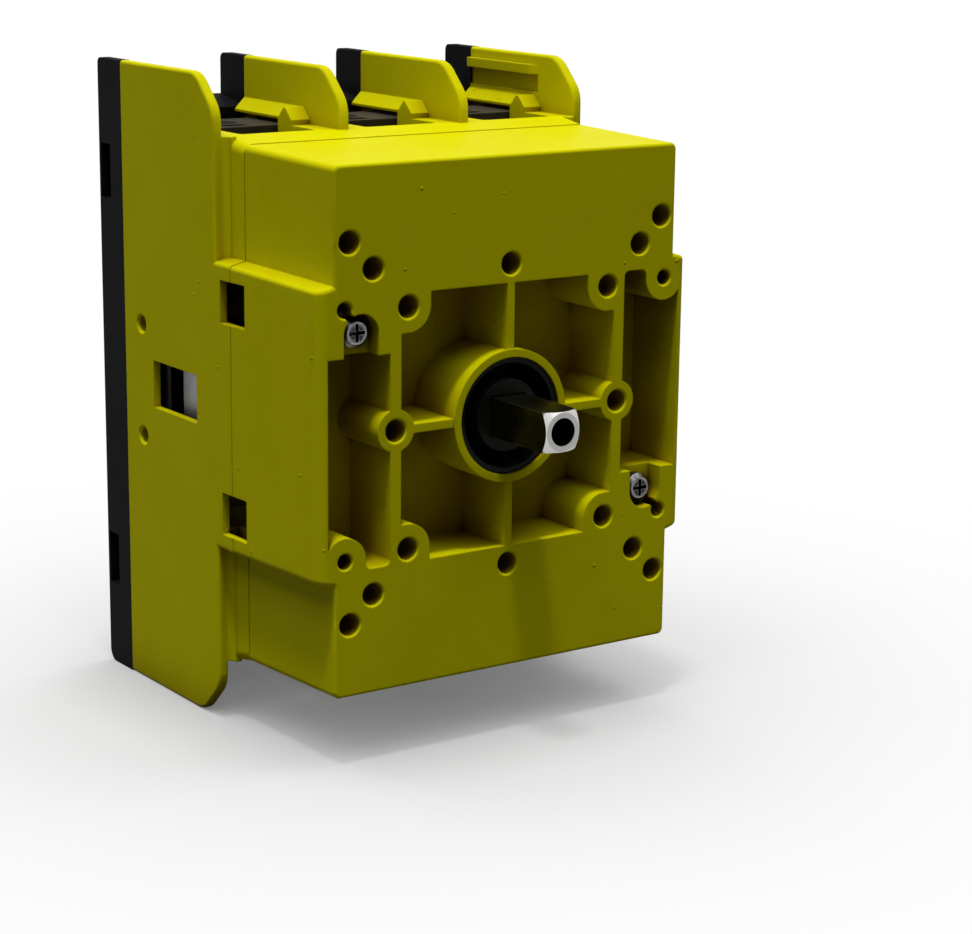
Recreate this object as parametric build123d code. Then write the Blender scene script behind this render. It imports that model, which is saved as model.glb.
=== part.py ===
from build123d import *
import math
import os

# Three pole rotary switch disconnector for mounting behind a panel.
# Frame: X to the right, Y from the front face to the back, Z up, all in millimetres.
# The origin lies on the shaft axis, in the plane of the front face.

# Overall size
pole_count = 3
pole_pitch = 22.05
barrier_thickness = 1.65
body_height = 99.2
body_depth = 65.7
cover_depth = 24.0
base_thickness = 7.8
fit_gap = 0.3
running_fit = 0.05

# Front cover
cover_width = 61.2
cover_height = 78.0
cover_draft = 1.3
cover_edge_radius = 1.0
cover_rim_radius = 0.5
band_width = 66.5
band_height = 42.5
band_root_height = 44.0
band_front_radius = 1.8
band_edge_radius = 0.7
front_wall = 2.5
side_wall = 1.6
pocket_depth = 11.0
pocket_floor = 1.5
zone_wall = 2.4

# Pockets and ribs of the front face
pocket_width = 38.5
pocket_height = 40.0
rib_thickness = 1.3
side_rib_thickness = 1.85
ring_outer_diameter = 20.2
ring_bore_diameter = 17.8
ring_proud = 0.3
corner_boss_reach = 3.8
side_boss_radius = 3.15
slim_boss_radius = 3.5
side_pocket_outer_x = 31.65
side_pocket_low_z = -11.45
side_slot_end = 20.0
side_slot_radius = 0.9
recess_depth = 3.0
recess_radius = 2.95
keyhole_width = 1.3

# Holes of the front face
hole_diameter = 3.4
hole_depth = 10.0
hole_boss_wall = 1.7
hole_chamfer = 0.25
pattern_small = 36.0
pattern_medium = 48.0
pattern_large = 56.0
upright_pair_pitch = 45.68
level_pair_pitch = 40.3
slim_hole_diameter = 2.35
slim_pattern_width = 57.6
slim_pattern_height = 36.8

# Cover screws
cover_screw_x = 26.05
cover_screw_z = 14.75
cover_screw_diameter = 2.5
cover_screw_head_diameter = 4.5
cover_screw_head_height = 1.8
cover_screw_length = 28.0
screw_tube_wall = 1.6
cross_recess_width = 0.6
cross_recess_depth = 1.0
recess_share = 0.3

# Middle housing
collar_width = 63.0
collar_height = 80.8
collar_seam_step = 0.12
collar_corner_radius = 1.6
collar_skin = 1.8
wing_front_y = 28.6
wing_chamfer_y = 33.9
wing_chamfer_z = 44.35
barrier_edge_radius = 0.5
barrier_bend_radius = 4.5
root_radius = 1.1
room_height = 38.0
room_back_y = 38.8
chamber_wall = 1.5
window_wall = 1.2
window_margin = 1.0
clip_window_front_y = 20.0
clip_window_back_y = 27.0
clip_window_low_z = 13.0
clip_window_high_z = 19.5
side_window_front_y = 34.6
side_window_back_y = 48.6
side_window_height = 7.5
side_hole_diameter = 2.5
side_hole_chamfer = 0.35
side_hole_y = 52.4
side_hole_pitch = 17.9

# Terminal bays
left_shelf = 4.0
right_shelf = 3.3
well_front_y = 30.3
well_low_z = 20.5
well_corner_radius = 0.8
rail_size = 1.8
rail_top_z = 43.0
rail_lip = 0.4
undercut_low_z = 34.0
catch_front_y = 37.65
catch_apex_y = 39.5
catch_crest = 0.5
catch_back_y = 41.7
catch_lip_z = 41.2
catch_foot_z = 37.0
guide_low_z = 46.35
guide_high_z = 47.9
guide_height = 0.8
guide_front_y = 38.5
guide_ramp = 1.5
guide_recess_low_z = 43.5
guide_recess_depth = 0.4

# Base
base_front_height = 83.2
base_back_height = 86.0
fin_top_radius = 1.0
fin_foot_radius = 2.0
notch_depth = 2.0
notch_width = 3.2
notch_back_wall = 0.6
notch_low_z = 27.5
notch_high_z = 36.2
base_core_depth = 3.5
base_core_margin = 2.0
housing_screw_z = 30.0
housing_screw_diameter = 3.0
housing_screw_head_diameter = 5.5
housing_screw_head_height = 2.0
housing_screw_length = 16.0
housing_head_sink = 3.2

# Shaft and rotor
shaft_size = 6.0
shaft_reach = 13.35
shaft_tail_y = 26.0
shaft_tip_diameter = 5.8
shaft_tip_taper = 1.1
shaft_hole_diameter = 4.2
shaft_hole_depth = 9.0
shaft_gap = 0.15
hub_collar_diameter = 11.0
hub_collar_front_y = 0.5
hub_recess_floor_y = 9.5
hub_rim_inner_diameter = 16.0
hub_rim_front_y = 0.2
index_wheel_diameter = 24.4
index_wheel_width = 2.5
index_notch_depth = 0.5
index_notch_radius = 2.4
drum_diameter = 21.0
drum_end_y = 26.8
tail_diameter = 12.0
strap_thickness = 1.5
strap_width = 16.0
strap_screw_z = 15.4
strap_screw_diameter = 2.5
strap_screw_head_diameter = 4.4
strap_screw_head_height = 1.5
strap_screw_length = 8.0
strap_corner_radius = 2.0
strap_post_diameter = 5.2
rotor_turn = 90.0
contact_travel = 6.0

# Carrier
follower_diameter = 3.0
follower_y = 17.5
groove_depth = 2.2
leg_height = 9.0
leg_thickness = 2.4
crosshead_height = 17.0
crosshead_thickness = 3.0
arm_thickness = 1.7
arm_height = 4.0
keeper_thickness = 1.5
fork_thickness = 0.6
fork_height = 10.0
fork_side_gap = 1.75
fork_end_y = 51.0
fork_web = 1.5
fork_slot = 5.25
fork_narrow_tine = 0.65

# Contacts
bridge_width = 6.6
bridge_thickness = 1.5
bridge_length = 26.4
bridge_corner_radius = 1.0
tip_diameter = 4.0
bridge_tip_height = 0.8
fixed_tip_height = 1.0
tip_pitch = 22.0
strip_width = 7.0
strip_thickness = 1.5
strip_inner_z = 8.5
strip_outer_z = 35.0
strip_to_base = 2.4
contact_spring_inner = 2.8
spring_peg = 0.8
contact_spring_wire = 0.5
contact_spring_turns = 4
plate_count = 3
plate_thickness = 0.8
plate_pitch = 3.0
plate_front_y = 43.0
plate_height = 4.8
plate_notch_width = 8.0
plate_notch_depth = 1.6

# Terminal blocks
block_width = 10.8
block_right_gap = 0.75
block_front_y = 42.2
block_low_z = 22.0
block_top_z = 40.1
block_wall = 1.4
entry_y = 49.6
entry_diameter = 5.2
entry_funnel_diameter = 6.6
entry_funnel_depth = 1.2
driver_slot_y = 44.7
driver_slot_width = 4.4
driver_slot_height = 2.2
driver_slot_depth = 10.0
cavity_front_y = 43.8
cavity_top_margin = 5.0
cage_spring_thickness = 0.7
cage_spring_rise = 7.0
cage_spring_clearance = 2.0

# Index leaf springs
leaf_thickness = 0.5
leaf_length = 22.0
leaf_width = 2.0
leaf_bump_radius = 2.2
leaf_grip = 2.2
leaf_post_wall = 1.2

# Values worked out from the sizes above
body_width = pole_count * pole_pitch + barrier_thickness
half_width = body_width / 2
half_height = body_height / 2
join_y = body_depth - base_thickness
floor_back_y = pocket_depth + pocket_floor
cover_growth = 2 * cover_depth * math.tan(math.radians(cover_draft))
bay_width = pole_pitch - barrier_thickness
bay_half = bay_width / 2
pole_centres = [(i - (pole_count - 1) / 2) * pole_pitch for i in range(pole_count)]
barrier_lefts = [i * pole_pitch - half_width for i in range(pole_count + 1)]
inner_barriers = [x + barrier_thickness / 2 for x in barrier_lefts[1:-1]]
side_pocket_inner_x = pocket_width / 2 + side_rib_thickness
room_half_width = half_width - barrier_thickness
room_half_height = room_height / 2
chamber_front_y = room_back_y + chamber_wall
well_left = left_shelf - bay_half
well_right = bay_half - right_shelf
rail_low_z = rail_top_z - rail_size - rail_lip
strip_back_y = join_y - strip_to_base
strip_front_y = strip_back_y - strip_thickness
fixed_tip_y = strip_front_y - fixed_tip_height
bridge_tip_y = fixed_tip_y - fit_gap - contact_travel
bridge_back_y = bridge_tip_y - bridge_tip_height
bridge_front_y = bridge_back_y - bridge_thickness
keeper_y = bridge_back_y + fit_gap
keeper_back_y = keeper_y + keeper_thickness
wheel_front_y = floor_back_y + fit_gap
wheel_back_y = wheel_front_y + index_wheel_width
strap_front_y = drum_end_y + fit_gap
strap_back_y = strap_front_y + strap_thickness
rotor_end_y = strap_back_y + fit_gap
crosshead_y = rotor_end_y + fit_gap
crosshead_back_y = crosshead_y + crosshead_thickness
leg_inner_x = drum_diameter / 2 + fit_gap
leg_outer_x = leg_inner_x + leg_thickness
leg_front_y = follower_y - follower_diameter / 2 - 2 * running_fit
arm_inner_x = bridge_width / 2 + 2 * fit_gap
arm_outer_x = arm_inner_x + arm_thickness
fork_outer_x = room_half_width - fork_side_gap
fork_inner_x = fork_outer_x - fork_thickness
leaf_x = index_wheel_diameter / 2 + fit_gap + leaf_bump_radius
helix_lead = contact_travel * 360 / rotor_turn
helix_radius = (drum_diameter - groove_depth) / 2
seam_half_width = (cover_width + cover_growth) / 2

# Local frame of what turns or is driven in along the shaft: its Z axis points to the back
shaft_frame = Plane(origin=(0, 0, 0), x_dir=(1, 0, 0), z_dir=(0, 1, 0))


def block(x0, x1, y0, y1, z0, z1):
    """Box between two values on each axis."""
    centre = Pos((x0 + x1) / 2, (y0 + y1) / 2, (z0 + z1) / 2)
    return centre * Box(x1 - x0, y1 - y0, z1 - z0)


def level_block(half_x, y0, y1, half_z):
    """Box centred on the shaft axis."""
    return block(-half_x, half_x, y0, y1, -half_z, half_z)


def prism(sketch, y0, y1):
    """Front view sketch drawn out from one depth to another."""
    return extrude(Plane.XZ.offset(-y1) * sketch, y1 - y0)


def side_prism(outline, x0, x1):
    """Side view face of Y and Z values drawn out from one X value to another."""
    return extrude(Plane.YZ.offset(x0) * outline, x1 - x0)


def polygon(points):
    """Face inside a closed run of straight lines."""
    return make_face(Polyline(points, close=True))


def span(x0, x1, z0, z1):
    """Front view rectangle between two values on each axis."""
    return Pos((x0 + x1) / 2, (z0 + z1) / 2) * Rectangle(x1 - x0, z1 - z0)


def rod(diameter, y0, y1, x=0.0, z=0.0):
    """Round bar parallel to the shaft."""
    return prism(Pos(x, z) * Circle(diameter / 2), y0, y1)


def turned_part(points):
    """Body of revolution about the shaft axis from radius and depth values."""
    return shaft_frame * revolve(Plane.XZ * polygon(points), Axis.Z)


def half_turned(shape):
    """The same shape turned half a turn about the shaft axis."""
    return Rot(0, 180, 0) * shape


def both_turns(shape):
    """A shape together with its copy half a turn round the shaft axis."""
    return shape + half_turned(shape)


def left_and_right(shape):
    """A shape together with its mirror image on the other side."""
    return shape + mirror(shape, Plane.YZ)


def corners(width, height):
    """The four centres of a rectangular hole pattern."""
    return [(i * width / 2, j * height / 2) for i in (-1, 1) for j in (-1, 1)]


def fixing_holes():
    """Diameter and centre of every blind hole in the front face."""
    places = corners(pattern_small, pattern_small)
    places += corners(pattern_medium, pattern_medium)
    places += corners(pattern_large, pattern_large)
    places += [(0, upright_pair_pitch / 2), (0, -upright_pair_pitch / 2)]
    places += [(level_pair_pitch / 2, 0), (-level_pair_pitch / 2, 0)]
    wide = [(hole_diameter, x, z) for x, z in places]
    slim = corners(slim_pattern_width, slim_pattern_height)
    return wide + [(slim_hole_diameter, x, z) for x, z in slim]


def cross_head_screw(diameter, head_diameter, head_height, length):
    """Pan head screw whose head stands in front of the origin, with a cross recess."""
    edge = head_height / 3
    shank_radius = diameter / 2
    head_radius = head_diameter / 2
    screw = turned_part([
        (0, -head_height), (head_radius - edge, -head_height), (head_radius, edge - head_height),
        (head_radius, 0), (shank_radius, 0), (shank_radius, length - shank_radius),
        (0, length),
    ])
    slot = block(
        -head_diameter * recess_share, head_diameter * recess_share,
        -head_height - 1, -head_height + cross_recess_depth,
        -cross_recess_width / 2, cross_recess_width / 2,
    )
    return screw - slot - Rot(0, 90, 0) * slot


def band_section(growth):
    """Front view of the wide middle band, which narrows a little towards its outer faces."""
    outer_x = (band_width + growth) / 2
    root_x = cover_width / 2
    outer_z = (band_height + growth) / 2
    root_z = (band_root_height + growth) / 2
    right = [(root_x, -root_z), (outer_x, -outer_z), (outer_x, outer_z), (root_x, root_z)]
    return polygon(right + [(-x, -z) for x, z in right])


def cover_blank():
    """Outside of the cover: a tapered block with the wider band across its middle."""
    rear_plane = Plane.XZ.offset(-cover_depth)
    rear_section = RectangleRounded(
        cover_width + cover_growth, cover_height + cover_growth, cover_edge_radius
    )
    main = loft([
        Plane.XZ * RectangleRounded(cover_width, cover_height, cover_edge_radius),
        rear_plane * rear_section,
    ])
    main = fillet(main.edges().group_by(Axis.Y)[0], cover_rim_radius)
    band = loft([Plane.XZ * band_section(0), rear_plane * band_section(cover_growth)])
    front_edges = band.edges().group_by(Axis.Y)[0].filter_by(Axis.Z)
    band = fillet(front_edges, band_front_radius)
    outer_edges = [e for e in band.edges() if is_band_corner(e)]
    band = fillet(outer_edges, band_edge_radius)
    return main + band


def is_band_corner(edge):
    """True for the four long outer edges of the band."""
    centre = edge.center()
    outside = abs(centre.X) > (cover_width + band_width) / 4 + band_edge_radius
    return outside and abs(centre.Z) > band_height / 4 and edge.length > cover_depth / 2


def centre_pocket():
    """Pocket round the bearing ring, less its ribs and the bosses of the holes in it."""
    sketch = Rectangle(pocket_width, pocket_height)
    sketch -= Circle(ring_outer_diameter / 2)
    sketch -= Rectangle(rib_thickness, pocket_height)
    sketch -= Rectangle(pocket_width, rib_thickness)
    boss_size = 3 * corner_boss_reach
    boss_pitch = pattern_small + boss_size - 2 * corner_boss_reach
    for x, z in corners(boss_pitch, boss_pitch):
        sketch -= Pos(x, z) * RectangleRounded(boss_size, boss_size, corner_boss_reach)
    for x in (-level_pair_pitch / 2, level_pair_pitch / 2):
        sketch -= Pos(x, 0) * Circle(side_boss_radius)
    return prism(sketch, -1, pocket_depth)


def side_pocket():
    """Right hand pocket with its narrow slot beside the slim hole's boss."""
    boss_x = slim_pattern_width / 2
    boss_z = slim_pattern_height / 2
    sketch = span(side_pocket_inner_x, side_pocket_outer_x, side_pocket_low_z, boss_z)
    slot_outer_x = boss_x - slim_boss_radius
    sketch += span(side_pocket_inner_x, slot_outer_x, boss_z, side_slot_end)
    sketch = fillet(sketch.vertices().group_by(Axis.Y)[-1], side_slot_radius)
    sketch -= Pos(boss_x, boss_z) * Circle(slim_boss_radius)
    sketch -= Pos(level_pair_pitch / 2, 0) * Circle(side_boss_radius)
    return prism(sketch, -1, pocket_depth)


def screw_recess():
    """Recess of the right hand cover screw, with a keyhole slot to the slim hole."""
    sketch = Pos(cover_screw_x, -cover_screw_z) * Circle(recess_radius)
    sketch += span(
        cover_screw_x - recess_radius, cover_screw_x + recess_radius,
        -cover_screw_z, side_pocket_low_z,
    )
    run = slim_pattern_width / 2 - cover_screw_x
    drop = cover_screw_z - slim_pattern_height / 2
    reach = math.hypot(run, drop)
    slot = Pos(reach / 2, 0) * Rectangle(reach, keyhole_width)
    angle = math.degrees(math.atan2(drop, run))
    sketch += Pos(cover_screw_x, -cover_screw_z) * Rot(0, 0, angle) * slot
    return prism(sketch, -1, recess_depth)


def cover_cavities():
    """Hollows behind the pocket floor and behind the front wall above and below it."""
    rear = cover_depth + 1
    zone_z = pocket_height / 2 - side_wall / 4
    middle = level_block(band_width / 2 - side_wall, floor_back_y, rear, zone_z)
    inner_x = cover_width / 2 - side_wall
    inner_z = cover_height / 2 - side_wall
    outer = block(-inner_x, inner_x, front_wall, rear, zone_z + zone_wall, inner_z)
    return middle + both_turns(outer)


def fixing_hole(diameter, x, z):
    """Blind hole with a small lead-in chamfer."""
    mouth = diameter / 2 + hole_chamfer
    hole = turned_part([
        (0, -1), (mouth, -1), (mouth, 0), (diameter / 2, hole_chamfer),
        (diameter / 2, hole_depth), (0, hole_depth),
    ])
    return Pos(x, 0, z) * hole


def wall_window(y0, y1, z0, z1):
    """Window through the right side wall, which is thinner round it."""
    inner_x = room_half_width - side_wall
    window = block(inner_x, half_width + 1, y0, y1, z0, z1)
    relief = block(
        inner_x, half_width - window_wall, y0 - window_margin, y1 + window_margin,
        z0 - window_margin, z1 + window_margin,
    )
    return window + relief


def clip_windows():
    """Windows through both side walls, across the seam, for clip-on parts."""
    window = wall_window(
        clip_window_front_y, clip_window_back_y, clip_window_low_z, clip_window_high_z
    )
    return left_and_right(both_turns(window))


def leaf_post():
    """Slotted post at the upper end of the right hand index leaf spring."""
    inner_z = leaf_length / 2 - leaf_grip
    outer_z = leaf_length / 2 + leaf_post_wall
    rear = wheel_front_y + leaf_width + running_fit
    leaf_back_x = leaf_x + leaf_thickness
    post = block(
        leaf_x - leaf_post_wall, leaf_back_x + leaf_post_wall, pocket_depth, rear, inner_z, outer_z
    )
    slot = block(
        leaf_x - running_fit, leaf_back_x + running_fit, wheel_front_y, rear,
        inner_z, leaf_length / 2 + running_fit,
    )
    return post - slot


def cover_screw_places():
    """Centres of the two cover screws."""
    return [(cover_screw_x, -cover_screw_z), (-cover_screw_x, cover_screw_z)]


def mechanism_cover():
    """Yellow front cover with ribbed pockets, bearing ring and fixing holes."""
    blank = cover_blank()
    boss_back_y = hole_depth + hole_boss_wall
    bosses = [
        rod(diameter + 2 * hole_boss_wall, front_wall / 2, boss_back_y, x, z)
        for diameter, x, z in fixing_holes()
    ]
    cover = blank - cover_cavities()
    for boss in bosses:
        cover += boss & blank
    cover -= centre_pocket()
    cover -= both_turns(side_pocket())
    cover += rod(ring_outer_diameter, -ring_proud, floor_back_y)
    for x, z in cover_screw_places():
        tube = cover_screw_diameter + 2 * screw_tube_wall
        cover += rod(tube, recess_depth, cover_depth, x, z)
        cover -= rod(cover_screw_diameter + 2 * running_fit, 0, cover_depth + 1, x, z)
    cover -= both_turns(screw_recess())
    for z in (-strap_screw_z, strap_screw_z):
        cover += rod(strap_post_diameter, pocket_depth, strap_front_y, 0, z)
        pilot_y = strap_back_y - strap_screw_length - fit_gap
        cover -= rod(strap_screw_diameter + 2 * running_fit, pilot_y, strap_back_y, 0, z)
    cover += left_and_right(both_turns(leaf_post()))
    for diameter, x, z in fixing_holes():
        cover -= fixing_hole(diameter, x, z)
    cover -= rod(ring_bore_diameter, -1, floor_back_y + 1)
    return cover - clip_windows()


def barrier_plate(left_x):
    """Barrier between two poles, with rounded rims."""
    quarter = [(wing_front_y, wing_chamfer_z), (wing_chamfer_y, half_height)]
    points = [(join_y, -half_height)] + [(y, -z) for y, z in reversed(quarter)]
    outline = polygon(points + quarter + [(join_y, half_height)])
    bends = [v for v in outline.vertices() if v.X < join_y - 1]
    outline = fillet(bends, barrier_bend_radius)
    plate = side_prism(outline, left_x, left_x + barrier_thickness)
    rims = [e for e in plate.edges() if e.center().Y < join_y - 1 and not is_along_x(e)]
    return fillet(rims, barrier_edge_radius)


def is_along_x(edge):
    """True for an edge that runs straight across."""
    return abs(edge.tangent_at(0.5).X) > 0.9


def housing_blank():
    """Outside of the middle housing: collar, wide core, middle band and barriers."""
    seam_growth = cover_growth + 2 * collar_seam_step
    seam_section = RectangleRounded(
        cover_width + seam_growth, cover_height + seam_growth, collar_corner_radius
    )
    collar_section = RectangleRounded(collar_width, collar_height, collar_corner_radius)
    collar = loft([
        Plane.XZ.offset(-cover_depth) * seam_section, Plane.XZ.offset(-wing_front_y) * collar_section
    ])
    collar += prism(collar_section, wing_front_y, join_y)
    core_half_x = half_width - barrier_edge_radius - running_fit
    core = level_block(core_half_x, wing_front_y, join_y, collar_height / 2)
    band = prism(band_section(body_width - band_width), cover_depth, wing_front_y + 2)
    outer_edges = [e for e in band.edges().filter_by(Axis.Y) if abs(e.center().X) > seam_half_width + 1]
    band = fillet(outer_edges, band_edge_radius)
    centre_x = collar_width / 2 + root_radius
    centre_y = wing_front_y - root_radius
    root = block(
        collar_width / 2 - 1, centre_x, centre_y, wing_front_y + 1,
        -collar_height / 2, collar_height / 2,
    )
    root -= Pos(centre_x, centre_y, 0) * Cylinder(root_radius, collar_height + 1)
    housing = collar + core + band + left_and_right(root)
    for x in barrier_lefts:
        housing += barrier_plate(x)
    return housing


def upper_bay_rails(pole_x):
    """Rail and catch for a terminal shroud on the right hand side of one upper bay."""
    face_x = pole_x + bay_half
    rail = prism(
        polygon([
            (face_x, rail_low_z), (face_x - rail_size, rail_low_z),
            (face_x - rail_size, rail_top_z - rail_size), (face_x, rail_top_z),
        ]),
        catch_apex_y, join_y,
    )
    catch = side_prism(
        polygon([
            (catch_front_y, catch_foot_z), (catch_front_y, catch_lip_z),
            (catch_apex_y, rail_top_z), (catch_apex_y + catch_crest, rail_top_z),
            (catch_back_y, catch_lip_z), (catch_back_y, catch_foot_z),
        ]),
        pole_x + well_right, face_x,
    )
    return rail + catch


def upper_guide():
    """Thin guide rib on the inner face of the right wing, with a sloping front end."""
    wing_x = room_half_width
    outline = polygon([
        (wing_x, guide_front_y), (wing_x - guide_height, guide_front_y + guide_ramp),
        (wing_x - guide_height, join_y), (wing_x, join_y),
    ])
    return extrude(Plane.XY.offset(guide_low_z) * outline, guide_high_z - guide_low_z)


def upper_guide_recess():
    """Shallow recess under the guide rib of the right wing."""
    wing_x = room_half_width
    return block(
        wing_x, wing_x + guide_recess_depth, guide_front_y, join_y + 1,
        guide_recess_low_z, guide_low_z,
    )


def upper_bay_cuts(pole_x):
    """Terminal well of one upper bay, its strip slot and the room under its rail."""
    top = collar_height / 2 + 1
    well = block(
        pole_x + well_left, pole_x + well_right, well_front_y, join_y + 1, well_low_z, top
    )
    front_corners = well.edges().filter_by(Axis.Z).group_by(Axis.Y)[0]
    well = fillet(front_corners, well_corner_radius)
    undercut = block(
        pole_x + well_right - 1, pole_x + bay_half, catch_back_y, join_y + 1, undercut_low_z,
        rail_low_z,
    )
    slot_half = strip_width / 2 + fit_gap
    slot = block(
        pole_x - slot_half, pole_x + slot_half, strip_front_y - fit_gap, join_y + 1,
        room_half_height - 1, well_low_z + 1,
    )
    return well + undercut + slot


def pole_chamber(pole_x):
    """Switching chamber of one pole and the window that its carrier arms pass."""
    chamber = block(
        pole_x - bay_half, pole_x + bay_half, chamber_front_y, join_y + 1,
        -room_half_height, room_half_height,
    )
    window_x = arm_outer_x + 2 * fit_gap
    window_z = arm_height / 2 + 2 * fit_gap
    window = block(
        pole_x - window_x, pole_x + window_x, room_back_y - 1, chamber_front_y + 1,
        -window_z, window_z,
    )
    return chamber + window


def fork_passage():
    """Opening beside the chamber wall that the right hand fork passes."""
    half_z = fork_height / 2 + 2 * fit_gap
    return block(
        fork_inner_x - 2 * fit_gap, room_half_width, room_back_y - 1, chamber_front_y + 1,
        -half_z, half_z,
    )


def side_hole(z):
    """Countersunk hole through the right side wall."""
    mouth = side_hole_diameter / 2 + side_hole_chamfer
    radius = side_hole_diameter / 2
    profile = polygon([
        (0, 0), (mouth, 0), (radius, side_hole_chamfer), (radius, 2 * barrier_thickness),
        (0, 2 * barrier_thickness),
    ])
    drill_frame = Plane(origin=(half_width, side_hole_y, z), x_dir=(0, 1, 0), z_dir=(-1, 0, 0))
    return drill_frame * revolve(Plane.XZ * profile, Axis.Z)


def middle_housing():
    """Yellow middle housing with mechanism room, three chambers and terminal bays."""
    housing = housing_blank()
    for x in pole_centres:
        housing += both_turns(upper_bay_rails(x))
    housing += both_turns(upper_guide())
    housing -= both_turns(upper_guide_recess())
    housing -= level_block(room_half_width, cover_depth - 1, room_back_y, room_half_height)
    skin_half_x = collar_width / 2 - collar_skin
    hollow = block(
        -skin_half_x, skin_half_x, cover_depth - 1, well_front_y - collar_skin,
        well_low_z, collar_height / 2 - collar_skin,
    )
    housing -= both_turns(hollow)
    for x in pole_centres:
        housing -= pole_chamber(x)
        housing -= both_turns(upper_bay_cuts(x))
    housing -= left_and_right(fork_passage())
    half_window = side_window_height / 2
    side_window = wall_window(
        side_window_front_y, side_window_back_y, -half_window, half_window
    )
    housing -= left_and_right(side_window)
    for z in (-side_hole_pitch / 2, side_hole_pitch / 2):
        housing -= left_and_right(side_hole(z))
    housing -= clip_windows()
    for x, z in cover_screw_places():
        boss_end = recess_depth + cover_screw_length + fit_gap
        housing += rod(cover_screw_diameter + 2 * screw_tube_wall, cover_depth, room_back_y, x, z)
        housing -= rod(cover_screw_diameter + 2 * running_fit, cover_depth - 1, boss_end, x, z)
    for x, z in housing_screw_places():
        hole_front_y = housing_seat_y() - housing_screw_length - fit_gap
        housing -= rod(housing_screw_diameter + 2 * running_fit, hole_front_y, join_y + 1, x, z)
    return housing


def housing_screw_places():
    """Centres of the screws that hold the base, behind the inner barriers."""
    return [(x, side * housing_screw_z) for x in inner_barriers for side in (-1, 1)]


def housing_seat_y():
    """Depth of the face under the housing screw heads."""
    return body_depth - housing_head_sink


def base():
    """Black base with fins behind the barriers, side notches and sunk screw holes."""
    front_z = base_front_height / 2
    back_z = base_back_height / 2
    plate = polygon([
        (join_y, -front_z), (join_y, front_z), (body_depth, back_z), (body_depth, -back_z),
    ])
    shape = side_prism(plate, -half_width, half_width)
    fin = polygon([
        (join_y, -half_height), (join_y, half_height), (body_depth, half_height),
        (body_depth, -half_height),
    ])
    fin = fillet(fin.vertices().group_by(Axis.X)[-1].sort_by(Axis.Y)[:1], fin_foot_radius)
    fin = fillet(fin.vertices().group_by(Axis.X)[-1].sort_by(Axis.Y)[-1:], fin_top_radius)
    for x in barrier_lefts:
        shape += side_prism(fin, x, x + barrier_thickness)
    for x in pole_centres:
        seat = block(
            x - strip_width / 2, x + strip_width / 2, strip_back_y, join_y, strip_inner_z,
            strip_outer_z,
        )
        shape += both_turns(seat)
        core_x = bay_half - base_core_margin
        core_z = strip_inner_z - strip_thickness
        shape -= block(x - core_x, x + core_x, join_y - 1, join_y + base_core_depth, -core_z, core_z)
    notch_back_y = body_depth - notch_back_wall
    notch = block(
        half_width - notch_depth, half_width + 1, notch_back_y - notch_width, notch_back_y,
        notch_low_z, notch_high_z,
    )
    shape -= left_and_right(both_turns(notch))
    for x, z in housing_screw_places():
        shape -= rod(housing_screw_diameter + 2 * running_fit, join_y - 1, body_depth + 1, x, z)
        head_hole = housing_screw_head_diameter + 2 * fit_gap
        shape -= rod(head_hole, housing_seat_y(), body_depth + 1, x, z)
    return shape


def drive_shaft():
    """Square shaft with a turned, tapered tip and a blind hole in its end."""
    tip_y = -shaft_reach
    corner = shaft_size / math.sqrt(2) + running_fit
    tip_radius = shaft_tip_diameter / 2
    bar = level_block(shaft_size / 2, tip_y, shaft_tail_y, shaft_size / 2)
    envelope = turned_part([
        (0, tip_y), (tip_radius, tip_y), (corner, tip_y + shaft_tip_taper),
        (corner, shaft_tail_y), (0, shaft_tail_y),
    ])
    return (bar & envelope) - rod(shaft_hole_diameter, tip_y - 1, tip_y + shaft_hole_depth)


def cam_groove():
    """Helical groove that drives one follower, from the right side up to the top."""
    path = Helix(pitch=helix_lead, height=contact_travel, radius=helix_radius, lefthand=True)
    width = follower_diameter + 2 * fit_gap
    radial = groove_depth + 2
    mouth_frame = Plane(origin=path @ 0, x_dir=(1, 0, 0), z_dir=path % 0)
    groove = sweep(mouth_frame * Rectangle(radial, width), path=path, is_frenet=True)
    groove += Pos(helix_radius, 0, 0) * Rot(0, 90, 0) * Cylinder(width / 2, radial)
    end = Pos(0, -helix_radius, contact_travel) * Rot(90, 0, 0) * Cylinder(width / 2, radial)
    return shaft_frame * Pos(0, 0, follower_y) * (groove + end)


def rotor_hub():
    """Black hub with shaft collar and recessed front, index wheel and cam drum."""
    journal = ring_bore_diameter / 2 - running_fit
    wheel = index_wheel_diameter / 2
    drum = drum_diameter / 2
    tail = tail_diameter / 2
    collar = hub_collar_diameter / 2
    rim = hub_rim_inner_diameter / 2
    hub = turned_part([
        (0, hub_collar_front_y), (collar, hub_collar_front_y), (collar, hub_recess_floor_y),
        (rim, hub_recess_floor_y), (rim, hub_rim_front_y), (journal, hub_rim_front_y),
        (journal, wheel_front_y),
        (wheel, wheel_front_y), (wheel, wheel_back_y), (drum, wheel_back_y),
        (drum, drum_end_y), (tail, drum_end_y), (tail, rotor_end_y), (0, rotor_end_y),
    ])
    notch_centre = wheel + index_notch_radius - index_notch_depth
    for x, z in [(notch_centre, 0), (-notch_centre, 0), (0, notch_centre), (0, -notch_centre)]:
        hub -= rod(2 * index_notch_radius, floor_back_y, wheel_back_y, x, z)
    square = shaft_size / 2 + shaft_gap
    hub -= level_block(square, hub_collar_front_y - 1, shaft_tail_y, square)
    return hub - both_turns(cam_groove())


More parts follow.
